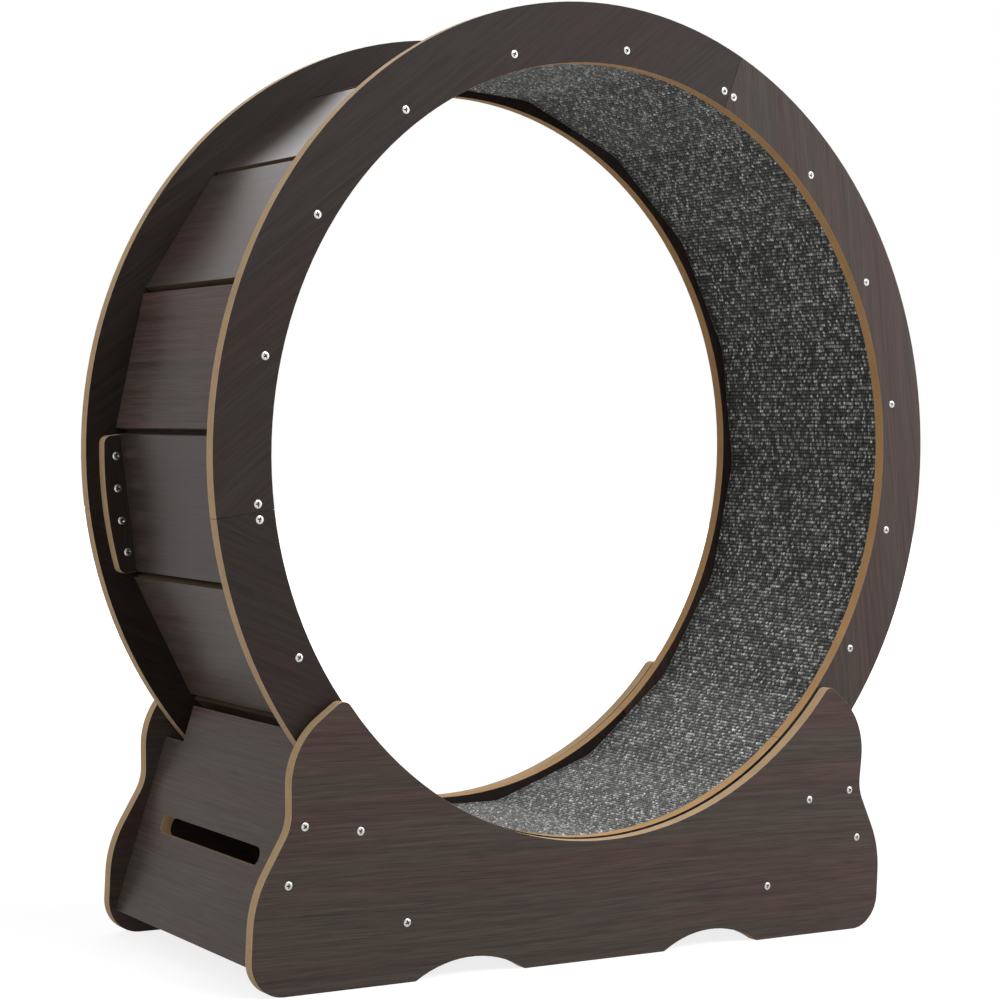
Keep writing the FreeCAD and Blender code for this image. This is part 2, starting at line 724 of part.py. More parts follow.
def round_bar(name, end, radius, low, high):
    """A cylinder along the wheel's axis at the left (-1) or right (1) rollers, from low to high."""
    bar = doc.addObject("Part::Cylinder", name)
    bar.Placement = Placement(Vector(), Rotation(Vector(1, 0, 0), -90))
    return bind(bar, Radius=radius, Height=high - low, Placement__Base__x=end * axle_x,
                Placement__Base__y=low, Placement__Base__z=axle_z)


def tube(name, end, outer, inner, low, high):
    pipe = doc.addObject("Part::Cut", name)
    pipe.Base = round_bar(name + "_outside", end, outer, low, high)
    pipe.Tool = round_bar(name + "_bore", end, inner, low, high)
    return pipe


def make_roller(label, end, side):
    """A grooved roller: a core with two flanges, and a rubber tread in its groove."""
    outer, inner = roller_outer_face, roller_inner_face
    low, high = (inner, outer) if side > 0 else (-outer, -inner)
    bore = size("axle_radius") + size("bore_gap")
    hub = size("roller_tread_radius") - size("tyre_wall")
    flange = size("flange_board")
    solid = doc.addObject("Part::MultiFuse", label + "_solid")
    solid.Shapes = [
        round_bar(label + "_drum", end, hub, low, high),
        round_bar(label + "_flange_a", end, size("flange_radius"), low, low + flange),
        round_bar(label + "_flange_b", end, size("flange_radius"), high - flange, high),
    ]
    core = doc.addObject("Part::Cut", label + "_bored")
    core.Base = solid
    core.Tool = round_bar(label + "_bore", end, bore, low, high)
    keep(core, label)
    seat = size("seat_gap")
    tread = tube(label + "_tread", end, size("roller_tread_radius"), hub + seat,
                 low + flange + seat, high - flange - seat)
    keep(tread, label + "_tyre")


def make_axle(label, end):
    """The rod across the base that carries two rollers."""
    rod = round_bar(label + "_rod", end, size("axle_radius"), -plate_inner_face, plate_inner_face)
    drilled(rod, label, plate_holes[-1], plate_holes[1])


def make_collars():
    """A collar on the rod at the inner face of each roller."""
    collars = doc.addObject("Part::Compound", "collar_set")
    bore = size("axle_radius") + size("seat_gap")
    links = []
    for side_name in SIDES:
        for end_name in ENDS:
            side, end = way_of(side_name), way_of(end_name)
            near = roller_inner_face - size("collar_gap")
            low, high = near - size("collar_width"), near
            if side < 0:
                low, high = -high, -low
            name = "collar_%s_%s" % (side_name, end_name)
            links.append(tube(name, end, size("collar_radius"), bore, low, high))
    collars.Links = links
    keep(collars, "axle_collars")


for side_name in SIDES:
    side = way_of(side_name)
    make_side_plate(side_name + "_side_plate", side)
    for end_name in ENDS:
        make_roller("%s_%s_roller" % (side_name, end_name), way_of(end_name), side)
for end_name in ENDS:
    end = way_of(end_name)
    make_end_panel(end_name + "_end_panel", end)
    make_stretcher(end_name + "_stretcher", end)
    make_axle(end_name + "_axle", end)
make_collars()


# Checks and files

doc.recompute()
for thing in doc.Objects:
    if "Invalid" in thing.State or "Error" in thing.State:
        raise RuntimeError("%s is %s" % (thing.Label, thing.State))
os.makedirs("parts", exist_ok=True)
for node in nodes:
    shape = node.Shape
    if shape.isNull() or not shape.isValid() or not shape.Solids:
        raise RuntimeError(node.Label + " has no valid solid")
for node in nodes:
    node.Shape.exportStep("parts/%s.step" % node.Label)
    print("%-28s %2d solids %10.1f cm3" % (node.Label, len(node.Shape.Solids), node.Shape.Volume / 1000))
print(len(nodes), "pieces")
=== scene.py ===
import logging
import math
import random
from collections.abc import Callable, Iterable, Sequence
from dataclasses import dataclass, field
from enum import Enum, IntEnum

import bmesh
import bpy
from mathutils import Matrix, Vector


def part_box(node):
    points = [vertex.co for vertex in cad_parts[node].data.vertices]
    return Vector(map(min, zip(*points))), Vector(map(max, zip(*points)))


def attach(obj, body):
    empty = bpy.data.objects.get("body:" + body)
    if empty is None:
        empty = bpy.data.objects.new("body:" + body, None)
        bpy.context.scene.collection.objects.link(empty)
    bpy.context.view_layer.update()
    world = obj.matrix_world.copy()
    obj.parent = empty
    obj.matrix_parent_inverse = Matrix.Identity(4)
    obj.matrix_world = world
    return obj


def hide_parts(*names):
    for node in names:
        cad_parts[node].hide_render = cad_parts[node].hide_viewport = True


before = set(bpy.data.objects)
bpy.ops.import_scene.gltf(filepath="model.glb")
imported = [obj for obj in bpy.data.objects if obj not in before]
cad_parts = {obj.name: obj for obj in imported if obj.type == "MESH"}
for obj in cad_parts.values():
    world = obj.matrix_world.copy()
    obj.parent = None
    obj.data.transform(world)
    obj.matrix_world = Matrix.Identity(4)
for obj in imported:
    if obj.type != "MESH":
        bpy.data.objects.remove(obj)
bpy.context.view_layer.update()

log = logging.getLogger("cat_wheel")

Triple = tuple[float, float, float]
Colour = Triple
Point = tuple[float, float]
Material = bpy.types.Material
BMesh = bmesh.types.BMesh

MM = 0.001
AXIS = Vector((0.0, 1.0, 0.0))
ALONG_BASE = Vector((1.0, 0.0, 0.0))
WHEEL_CENTRE = Vector((0.0, 0.0, 518 * MM))
SLATS = 18
ROWS_PER_SLAT = 32
CARPET_RADIUS = 402 * MM
WHITE = (1.0, 1.0, 1.0, 1.0)


class Slot(Enum):
    """The record's material slots."""

    BOARD = "dark_board"
    CARPET = "carpet"
    SCREW = "screw_metal"
    STEEL = "axle_steel"
    NYLON = "roller_nylon"
    RUBBER = "roller_rubber"


class Layer(Enum):
    """Vector attributes that carry a piece's own pattern coordinates."""

    GRAIN = "grain"
    PILE = "pile"
    # Each board's lightness; on the ring segments, the rear ring and the joint plates it paints
    # light and shade.
    TONE_AND_PAINTED_LIGHT = "print"


class Coat(IntEnum):
    """Places of a board's materials on its mesh."""

    FACE = 0
    EDGE = 1
    SEAM = 2
    RIM = 3


# Node trees


def arithmetic(operation: str, reflected: bool = False) -> Callable[..., "Wire"]:
    """Makes an operator for wires.

    Args:
        operation: what its Math node does.
        reflected: whether the wire comes after the other value.

    Returns:
        The operator, as a method of Wire.
    """

    def operator(wire: "Wire", *others: "Wire | float") -> "Wire":
        """The output of a new Math node."""
        values = (*others, wire) if reflected else (wire, *others)
        return wire.bench.node("ShaderNodeMath", {"operation": operation}, dict(enumerate(values)))

    return operator


@dataclass(frozen=True)
class Wire:
    """An output socket that stands in arithmetic; each operator adds a Math node."""

    bench: "Bench"
    socket: bpy.types.NodeSocket

    __add__ = __radd__ = arithmetic("ADD")
    __sub__ = arithmetic("SUBTRACT")
    __rsub__ = arithmetic("SUBTRACT", reflected=True)
    __mul__ = __rmul__ = arithmetic("MULTIPLY")
    __truediv__ = arithmetic("DIVIDE")
    __pow__ = arithmetic("POWER")
    floor = arithmetic("FLOOR")
    fraction = arithmetic("FRACT")
    sine = arithmetic("SINE")
    size = arithmetic("ABSOLUTE")
    largest = arithmetic("MAXIMUM")

    def step(self, low: float, high: float) -> "Wire":
        """Makes a smooth rise from 0 to 1; it falls where low is over high.

        Args:
            low: where it is 0.
            high: where it is 1.

        Returns:
            The rise, as a wire.
        """
        rising = low < high
        ends = (low, high, 0.0, 1.0) if rising else (high, low, 1.0, 0.0)
        settings = {"interpolation_type": "SMOOTHSTEP", "clamp": True}
        return self.bench.node("ShaderNodeMapRange", settings, dict(enumerate((self, *ends))))

    def other(self, output: str | int) -> "Wire":
        """Another output of the same node."""
        return Wire(self.bench, self.socket.node.outputs[output])


@dataclass
class Bench:
    """Where one node tree is put together."""

    tree: bpy.types.NodeTree

    @staticmethod
    def of(owner: Material | bpy.types.World) -> "Bench":
        """Clears the node tree of a material or a world.

        Args:
            owner: the material or the world.

        Returns:
            The bench of its empty tree.
        """
        owner.use_nodes = True
        owner.node_tree.nodes.clear()
        return Bench(owner.node_tree)

    def node(
        self,
        kind: str,
        settings: dict[str, object] | None = None,
        inputs: dict[str | int, object] | None = None,
        output: str | int = 0,
    ) -> Wire:
        """Adds a node.

        Args:
            kind: the node's type.
            settings: what is set on the node itself, first; "stops" fills a ramp.
            inputs: a value or a Wire for each socket.
            output: the output that is returned.

        Returns:
            That output.
        """
        made = self.tree.nodes.new(kind)
        for name, value in (settings or {}).items():
            if name == "stops":
                self._fill_ramp(made.color_ramp, value)
            else:
                setattr(made, name, value)
        for place, value in (inputs or {}).items():
            if isinstance(value, Wire):
                self.tree.links.new(value.socket, made.inputs[place])
            else:
                made.inputs[place].default_value = value
        return Wire(self, made.outputs[output] if made.outputs else None)

    @staticmethod
    def _fill_ramp(ramp: bpy.types.ColorRamp, stops: Sequence[tuple[float, Colour]]) -> None:
        """Gives a ramp its stops.

        Args:
            ramp: the ramp.
            stops: place and colour of each stop.
        """
        while len(ramp.elements) < len(stops):
            ramp.elements.new(1.0)
        for element, (place, colour) in zip(ramp.elements, stops):
            element.position = place
            element.color = (*colour, 1.0)

    def layer(self, layer: Layer) -> Wire:
        """The piece's own pattern coordinates."""
        return self.node("ShaderNodeAttribute", {"attribute_name": layer.value}, output="Vector")

    def place(self) -> Wire:
        """Object coordinates."""
        return self.node("ShaderNodeTexCoord", output="Object")

    def stretched(self, vector: Wire, scale: Triple) -> Wire:
        """Coordinates scaled along each axis."""
        return self.node("ShaderNodeMapping", {}, {"Vector": vector, "Scale": scale})

    def noise(
        self, vector: Wire, scale: float = 1.0, detail: float = 2.0, rough: float = 0.5
    ) -> Wire:
        """Noise from 0 to 1 about 0.5."""
        inputs = {"Vector": vector, "Scale": scale, "Detail": detail, "Roughness": rough}
        return self.node("ShaderNodeTexNoise", {}, inputs)

    def joined(self, x: Wire | float, y: Wire | float, z: Wire | float) -> Wire:
        """A vector from three values."""
        return self.node("ShaderNodeCombineXYZ", {}, {0: x, 1: y, 2: z})

    def parts(self, vector: Wire) -> tuple[Wire, Wire, Wire]:
        """The three values of a vector."""
        x = self.node("ShaderNodeSeparateXYZ", {}, {0: vector})
        return x, x.other(1), x.other(2)

    def blend(self, share: Wire | float, a: Wire | Colour, b: Wire | Colour) -> Wire:
        """Colour a where the share is 0 and b where it is 1."""
        a, b = (end if isinstance(end, Wire) else (*end, 1.0) for end in (a, b))
        return self.node("ShaderNodeMix", {"data_type": "RGBA"}, {0: share, 6: a, 7: b}, 2)

    def scaled(self, colour: Wire | Colour, by: Wire | float) -> Wire:
        """A colour made lighter or darker by a value."""
        return self.node("ShaderNodeVectorMath", {"operation": "SCALE"}, {0: colour, "Scale": by})

    def bump(self, height: Wire, strength: float, distance: float) -> Wire:
        """A bumped normal."""
        inputs = {"Height": height, "Strength": strength, "Distance": distance}
        return self.node("ShaderNodeBump", {}, inputs)

    def surface(self, **inputs: object) -> None:
        """Ends a material in a Principled shader.

        Args:
            inputs: a value or a Wire for each socket, with underscores for spaces in its name.
        """
        named = {name.replace("_", " "): value for name, value in inputs.items()}
        for name, value in named.items():
            if isinstance(value, tuple) and len(value) == 3:
                named[name] = (*value, 1.0)
        shader = self.node("ShaderNodeBsdfPrincipled", {}, named)
        self.node("ShaderNodeOutputMaterial", {}, {"Surface": shader})


# Finishes


@dataclass(frozen=True)
class Finish:
    """What a surface looks like. Each kind of finish paints its own node tree."""

    name: str

    def paint(self, bench: Bench) -> None:
        """Lays out the finish's nodes on an empty bench."""
        raise NotImplementedError

    def material(self) -> Material:
        """Makes the material.

        Returns:
            The new material.
        """
        made = bpy.data.materials.new(self.name)
        self.paint(Bench.of(made))
        return made


@dataclass(frozen=True)
class Laminate(Finish):
    """Dark espresso wood-print laminate with fine streaks along its grain.

    Each scale says how fine a pattern is along, across and through the board.
    """

    name: str = "espresso_laminate"
    red: Colour = (0.048, 0.030, 0.0265)
    olive: Colour = (0.043, 0.034, 0.028)
    roughness: float = 0.44
    gloss: float = 0.13
    sway_scale: Triple = (2.2, 5.0, 5.0)
    broad_scale: Triple = (1.1, 17.0, 17.0)
    streak_scale: Triple = (4.5, 260.0, 90.0)
    fine_scale: Triple = (26.0, 1150.0, 600.0)
    sway: float = 12 * MM
    pore_depth: float = 0.35
    relief: float = 0.12 * MM

    def paint(self, bench: Bench) -> None:
        """Lays out the wood print.

        Args:
            bench: where the nodes go.
        """
        grain = bench.layer(Layer.GRAIN)
        u, v, w = bench.parts(grain)
        sway = bench.noise(bench.stretched(grain, self.sway_scale), detail=1.0)
        wavy = bench.joined(u, v + (sway - 0.5) * self.sway, w)
        broad = bench.noise(bench.stretched(wavy, self.broad_scale), detail=3.0)
        streak = bench.noise(bench.stretched(wavy, self.streak_scale), detail=4.0, rough=0.66)
        fine = bench.noise(bench.stretched(wavy, self.fine_scale), detail=2.0)
        tone = bench.blend(broad.step(0.36, 0.64), self.red, self.olive)
        # The board's lightness scales the print; on the ring segments, the rear ring and the joint
        # plates this is painted light and shade.
        depth, _, _ = bench.parts(bench.layer(Layer.TONE_AND_PAINTED_LIGHT))
        light = depth * (1.3 * streak + 1.1 * fine - 0.2)
        pores = fine.step(0.40, 0.30) * streak.step(0.45, 0.60)
        bench.surface(
            Base_Color=bench.scaled(tone, light * (1.0 - self.pore_depth * pores)),
            Roughness=self.roughness - 0.06 + 0.12 * streak,
            Specular_IOR_Level=self.gloss,
            Normal=bench.bump(fine * 0.6 + streak * 0.5, 0.16, self.relief),
        )


@dataclass(frozen=True)
class RawEdge(Finish):
    """Cut edge of fibreboard: tan, a little darker and closer towards the faces.

    Its reach turns the distance from the board's middle into 0 there and about 1 at its faces.
    """

    name: str = "raw_fibreboard"
    core: Colour = (0.43, 0.285, 0.155)
    skin: Colour = (0.41, 0.31, 0.205)
    reach: float = 166.0
    fibre_scale: float = 950.0
    patch_scale: float = 26.0
    relief: float = 0.2 * MM

    def paint(self, bench: Bench) -> None:
        """Lays out the fibres.

        Args:
            bench: where the nodes go.
        """
        _, _, w = bench.parts(bench.layer(Layer.GRAIN))
        place = bench.place()
        fibre = bench.noise(place, self.fibre_scale, 3.0, 0.7)
        patch = bench.noise(place, self.patch_scale, 3.0)
        tone = bench.blend((w.size() * self.reach).step(0.45, 1.0), self.core, self.skin)
        bench.surface(
            Base_Color=bench.scaled(tone, 0.45 + 0.7 * fibre + 0.4 * patch),
            Roughness=0.9 - 0.15 * fibre,
            Specular_IOR_Level=0.25,
            Normal=bench.bump(fibre, 0.35, self.relief),
        )


@dataclass(frozen=True)
class LoopPile(Finish):
    """Charcoal loop-pile carpet: rows of small loops of mixed dark and light yarn."""

    name: str = "charcoal_loop_pile"
    row: float = math.tau * CARPET_RADIUS / (SLATS * ROWS_PER_SLAT)
    loop: float = 3.3 * MM
    dark: Colour = (0.012, 0.0125, 0.012)
    mid: Colour = (0.075, 0.077, 0.073)
    pale: Colour = (0.33, 0.335, 0.32)
    light: Colour = (0.86, 0.87, 0.83)
    stray_scale: float = 170.0
    drift_scale: float = 190.0
    yarn_scale: float = 1500.0
    clump_scale: float = 210.0
    cloud_scale: float = 9.0
    relief: float = 0.7 * MM

    def paint(self, bench: Bench) -> None:
        """Lays out the rows of loops.

        Args:
            bench: where the nodes go.
        """
        pile = bench.layer(Layer.PILE)
        s, t, _ = bench.parts(pile)
        stray = bench.noise(pile, self.stray_scale, 2.0)
        drift = bench.noise(pile, self.drift_scale, 1.0)
        across = s / self.row + (stray - 0.5) * 0.5
        row = across.floor()
        shift = bench.node("ShaderNodeTexWhiteNoise", {"noise_dimensions": "1D"}, {"W": row})
        along = t / self.loop + shift + (drift - 0.5) * 1.2
        cell = bench.joined(row, along.floor(), 0.0)
        pick = bench.node("ShaderNodeTexWhiteNoise", {"noise_dimensions": "2D"}, {"Vector": cell})
        ridge = (across.fraction() * math.pi).sine() ** 1.2
        # The crest is the loops' height; it drives the bump and the painted shade in the valleys.
        crest_and_shade = ridge * (along.fraction() * math.pi).sine() ** 0.9
        yarn = bench.noise(pile, self.yarn_scale, 2.0, 0.7)
        clump = bench.noise(pile, self.clump_scale, 2.0)
        stops = [(0.0, self.dark), (0.44, self.mid), (0.74, self.pale), (1.0, self.light)]
        yarns = pick * 0.80 + (yarn - 0.44) * 0.6 + (clump - 0.50) * 0.7
        tone = bench.node("ShaderNodeValToRGB", {"stops": stops}, {0: yarns})
        cloud = bench.noise(pile, self.cloud_scale, 3.0)
        bench.surface(
            # Painted shade: the colour falls to near black in the valleys between loops and rows.
            Base_Color=bench.scaled(tone, (0.03 + 1.7 * crest_and_shade) * (0.75 + 0.5 * cloud)),
            Roughness=0.93 - 0.1 * yarn,
            Specular_IOR_Level=0.2,
            Sheen_Weight=0.42,
            Sheen_Roughness=0.45,
            Normal=bench.bump(crest_and_shade + 0.35 * yarn, 0.8, self.relief),
        )


@dataclass(frozen=True)
class Metal(Finish):
    """Bare or plated metal with fine handling marks."""

    tint: Colour
    roughness: float
    cloud_scale: float = 420.0
    mark_scale: Triple = (2600.0, 90.0, 2600.0)
    relief: float = 0.1 * MM

    def paint(self, bench: Bench) -> None:
        """Lays out the metal.

        Args:
            bench: where the nodes go.
        """
        place = bench.place()
        cloud = bench.noise(place, self.cloud_scale, 3.0)
        marks = bench.noise(bench.stretched(place, self.mark_scale), detail=2.0)
        bench.surface(
            Base_Color=bench.scaled(self.tint, 0.82 + 0.3 * cloud),
            Metallic=1.0,
            Roughness=self.roughness + 0.16 * (cloud - 0.5) + 0.08 * marks,
            Normal=bench.bump(marks, 0.06, self.relief),
        )


@dataclass(frozen=True)
class Moulded(Finish):
    """Moulded plastic or rubber with a fine texture."""

    tint: Colour
    roughness: float
    grain_scale: float = 1400.0
    cloud_scale: float = 60.0
    relief: float = 0.1 * MM

    def paint(self, bench: Bench) -> None:
        """Lays out the texture.

        Args:
            bench: where the nodes go.
        """
        place = bench.place()
        cloud = bench.noise(place, self.cloud_scale, 4.0)
        grain = bench.noise(place, self.grain_scale, 2.0)
        bench.surface(
            Base_Color=bench.scaled(self.tint, 0.84 + 0.32 * cloud),
            Roughness=self.roughness + 0.14 * (grain - 0.5) + 0.1 * (cloud - 0.5),
            Normal=bench.bump(grain, 0.2, self.relief),
        )


def made_of(finish: Finish) -> Material:
    """A field that holds a finish's material."""
    return field(default_factory=finish.material)


@dataclass(frozen=True)
class Finishes:
    """Every finish of the wheel, made once."""

    laminate: Material = made_of(Laminate())
    satin_laminate: Material = made_of(Laminate("slat_laminate", roughness=0.36, gloss=0.17))
    raw_edge: Material = made_of(RawEdge())
    rim_edge: Material = made_of(
        RawEdge("honey_fibreboard", (0.44, 0.245, 0.10), (0.40, 0.26, 0.14)))
    # Painted shade: near-black brown fibreboard on slat edges and ring seams, for the shade in
    # their narrow gaps.
    shade_painted_edge: Material = made_of(
        RawEdge("shade_painted_fibreboard", (0.075, 0.046, 0.024), (0.045, 0.028, 0.015)))
    pile: Material = made_of(LoopPile())
    backing: Material = made_of(Moulded("latex_backing", (0.018, 0.018, 0.019), 0.85))
    nickel: Material = made_of(Metal("nickel_plate", (0.54, 0.53, 0.515), 0.28))
    # Painted shade: the screws' cross recesses are drawn near black for the shade inside them.
    recess: Material = made_of(Metal("recess_painted_shade", (0.045, 0.045, 0.045), 0.5))
    steel: Material = made_of(Metal("drawn_steel", (0.56, 0.56, 0.57), 0.34))
    nylon: Material = made_of(Moulded("moulded_nylon", (0.60, 0.60, 0.575), 0.42))
    rubber: Material = made_of(Moulded("soft_rubber", (0.032, 0.032, 0.034), 0.68))


# Meshes


def merged_copy(node: str) -> BMesh:
    """Copies a CAD node's mesh as one closed skin.

    Args:
        node: the node's name.

    Returns:
        The skin, in a bmesh of its own.
    """
    bm = bmesh.new()
    bm.from_mesh(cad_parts[node].data)
    bmesh.ops.remove_doubles(bm, verts=bm.verts, dist=0.002 * MM)
    return bm


def flood(left: set, near: Callable[[object], Iterable]) -> list[list]:
    """Sorts things into groups that hang together.

    Args:
        left: the things, which are used up.
        near: what gives the neighbours of one.

    Returns:
        The groups.
    """
    groups = []
    while left:
        front = [left.pop()]
        group = list(front)
        while front:
            found = {other for thing in front for other in near(thing)} & left
            left -= found
            front = list(found)
            group += front
        groups.append(group)
    return groups


def islands(bm: BMesh) -> list[list[bmesh.types.BMVert]]:
    """The separate bodies of a mesh, as lists of their points."""
    return flood(set(bm.verts), lambda v: [e.other_vert(v) for e in v.link_edges])


def extent(points: Iterable[Vector]) -> tuple[Vector, Vector]:
    """Finds the box round some points.

    Args:
        points: the points.

    Returns:
        Its lowest and its highest corner.
    """
    listed = list(points)
    low = Vector([min(p[n] for p in listed) for n in range(3)])
    high = Vector([max(p[n] for p in listed) for n in range(3)])
    return low, high


def lean_out(face: bmesh.types.BMFace) -> float:
    """Tells how far a face looks away from the wheel's axis.

    Args:
        face: the face.

    Returns:
        1 for straight out, -1 for straight at the axis.
    """
    out = face.calc_center_median() - WHEEL_CENTRE
    out.y = 0.0
    return face.normal.dot(out.normalized())


def crease(bm: BMesh, angle: float = 22.0) -> None:
    """Shades a mesh smooth and keeps its sharper edges crisp.

    Args:
        bm: the mesh.
        angle: the sharpest edge that is shaded smooth, in degrees.
    """
    for face in bm.faces:
        face.smooth = True
    for edge in bm.edges:
        edge.smooth = edge.is_manifold and edge.calc_face_angle(0.0) < math.radians(angle)


def mirrored(half: Sequence[Point]) -> list[Point]:
    """A lathe's closed outline from its half on the positive side."""
    return [*half, *((radius, -along) for radius, along in reversed(half))]


def lathe(outline: Sequence[Point], centre: Vector, steps: int) -> BMesh:
    """Turns a closed outline about a line parallel to the wheel's axis.

    Args:
        outline: radius and place along the line, for each corner.
        centre: a point on the line, where places along it start.
        steps: divisions of the circle.

    Returns:
        The turned mesh.
    """
    bm = bmesh.new()
    points = [bm.verts.new(centre + Vector((radius, along, 0.0))) for radius, along in outline]
    edges = [bm.edges.new((a, b)) for a, b in zip(points, points[1:] + points[:1])]
    bmesh.ops.spin(bm, geom=points + edges, cent=centre, axis=AXIS, angle=math.tau,
                   steps=steps, use_merge=True, use_duplicate=False)
    bmesh.ops.remove_doubles(bm, verts=bm.verts, dist=0.001 * MM)
    bmesh.ops.recalc_face_normals(bm, faces=bm.faces)
    return bm


def baked(bm: BMesh, name: str) -> bpy.types.Mesh:
    """Writes a bmesh into mesh data.

    Args:
        bm: the bmesh, which is used up.
        name: what the data is called.

    Returns:
        The mesh data.
    """
    mesh = bpy.data.meshes.new(name)
    bm.to_mesh(mesh)
    bm.free()
    return mesh


def linked(name: str, data: bpy.types.ID) -> bpy.types.Object:
    """Puts a new object into the scene.

    Args:
        name: what it is called.
        data: its mesh, lamp or camera.

    Returns:
        The object.
    """
    made = bpy.data.objects.new(name, data)
    bpy.context.scene.collection.objects.link(made)
    return made


def carved(bm: BMesh, tool: BMesh) -> BMesh:
    """Cuts one closed mesh out of another.

    Args:
        bm: the mesh to cut, which is used up.
        tool: the mesh that is cut out of it, used up too.

    Returns:
        What is left.
    """
    pair = [linked("blank", baked(shape, "blank")) for shape in (bm, tool)]
    cut = pair[0].modifiers.new("cut", "BOOLEAN")
    cut.operation, cut.solver, cut.object = "DIFFERENCE", "EXACT", pair[1]
    bpy.context.view_layer.update()
    graph = bpy.context.evaluated_depsgraph_get()
    mesh = bpy.data.meshes.new_from_object(pair[0].evaluated_get(graph))
    result = bmesh.new()
    result.from_mesh(mesh)
    for blank in pair:
        data = blank.data
        bpy.data.objects.remove(blank)
        bpy.data.meshes.remove(data)
    bpy.data.meshes.remove(mesh)
    return result


@dataclass
class Piece:
    """A finished mesh on its way into the scene."""

    name: str
    body: str
    slot: Slot
    materials: Sequence[Material]
    replaces: Sequence[str] = ()

    def place(
        self,
        bm: BMesh,
        layers: dict[Layer, Callable[[Vector], Vector]] | None = None,
    ) -> bpy.types.Object:
        """Makes the object, lets it ride on its body and stand for its CAD nodes.

        Args:
            bm: the mesh, which is used up.
            layers: what gives the vector at a point, for each attribute of its pattern.

        Returns:
            The object.
        """
        mesh = baked(bm, self.name)
        stale = mesh.attributes.get("custom_normal")
        if stale:
            mesh.attributes.remove(stale)
        for material in self.materials:
            mesh.materials.append(material)
        for layer, where in (layers or {}).items():
            attribute = mesh.attributes.new(layer.value, "FLOAT_VECTOR", "POINT")
            attribute.data.foreach_set("vector", [c for v in mesh.vertices for c in where(v.co)])
        made = linked(self.name, mesh)
        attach(made, self.body)
        if self.replaces:
            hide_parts(*self.replaces)
        log.info("%s: %d faces", self.name, len(mesh.polygons))
        return made


@dataclass
class Board:
    """A board as its CAD node is, with eased arrises, laminate on both faces and raw cut edges.

    Its depth sets how light its laminate is drawn, 1 for the middle; on the ring segments, the
    rear ring and the joint plates it paints light and shade. A ring's board has dark seam faces,
    painted shade of its narrow seams, and a honey coloured inner rim. A slat's cut edges are
    drawn dark brown too, painted shade of the gaps between slats. Angles are in degrees, and
    leans are cosines.
    """

    node: str
    body: str
    grain: Vector
    through: Vector
    depth: float = 1.0
    satin: bool = False
    # Painted shade: draws the cut edges near-black brown, for the shade in the gaps between slats.
    shade_painted_edges: bool = False
    ring: bool = False
    arris: float = 0.12 * MM
    smallest_loop: float = 14 * MM
    flat_angle: float = 0.1
    square_angle: float = 50.0
    face_lean: float = 0.95
    seam_lean: float = 0.2
    sheet_reach: float = 9.0

    def dress(self, finishes: Finishes) -> None:
        """Builds the board.

        Args:
            finishes: where its materials come from.
        """
        low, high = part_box(self.node)
        middle = (low + high) / 2
        across = self.through.cross(self.grain)
        luck = random.Random(self.node)
        reach = self.sheet_reach
        shift = Vector((luck.uniform(-reach, reach), luck.uniform(-reach, reach), 0.0))
        axes = (self.grain, across, self.through)
        # The board's lightness, painted light and shade on the ring segments, the rear ring and the
        # joint plates.
        depth = Vector((self.depth, 0.0, 0.0))

        def along_grain(point: Vector) -> Vector:
            """The point as lengths along, across and through the board."""
            return Vector([(point - middle).dot(axis) for axis in axes]) + shift

        # Slat edges and ring seams take the near-black fibreboard, painted shade of their narrow
        # gaps.
        coats = [finishes.satin_laminate if self.satin else finishes.laminate,
                 finishes.shade_painted_edge if self.shade_painted_edges else finishes.raw_edge]
        if self.ring:
            coats += [finishes.shade_painted_edge, finishes.rim_edge]
        piece = Piece(self.node + "_board", self.body, Slot.BOARD, coats, (self.node,))
        piece.place(self._skin(), {Layer.GRAIN: along_grain, Layer.TONE_AND_PAINTED_LIGHT: lambda point: depth})

    def _skin(self) -> BMesh:
        """Eases the arrises and gives each face its coat.

        Returns:
            The board's mesh.
        """
        bm = merged_copy(self.node)
        bmesh.ops.dissolve_limit(bm, angle_limit=math.radians(self.flat_angle),
                                 use_dissolve_boundaries=False, verts=bm.verts, edges=bm.edges,
                                 delimit={"NORMAL"})
        bm.normal_update()
        for face in bm.faces:
            on_face = abs(face.normal.dot(self.through)) > self.face_lean
            face.material_index = Coat.FACE if on_face else Coat.EDGE
        eased = bmesh.ops.bevel(bm, geom=self._arrises(bm), offset=self.arris,
                                offset_type="OFFSET", segments=2, profile=0.5, affect="EDGES",
                                material=-1, clamp_overlap=True)
        for face in eased["faces"]:
            face.material_index = Coat.EDGE
        # On a ring, edge faces that look along the rim are seam ends, drawn in painted shade; those
        # that look at the axis are the inner rim.
        for face in bm.faces if self.ring else ():
            lean = lean_out(face)
            if face.material_index == Coat.EDGE and lean < self.seam_lean:
                face.material_index = Coat.RIM if lean < -self.seam_lean else Coat.SEAM
        crease(bm)
        return bm

    def _arrises(self, bm: BMesh) -> list[bmesh.types.BMEdge]:
        """Finds the board's square edges, without those round its screw holes.

        Args:
            bm: the board's mesh.

        Returns:
            The edges.
        """
        square = math.radians(self.square_angle)
        sharp = {e for e in bm.edges if e.is_manifold and e.calc_face_angle(0.0) > square}
        kept = []
        for loop in flood(sharp, lambda edge: [e for v in edge.verts for e in v.link_edges]):
            low, high = extent(v.co for e in loop for v in e.verts)
            if max(high - low) > self.smallest_loop:
                kept += loop
        return kept


# Sub-assemblies


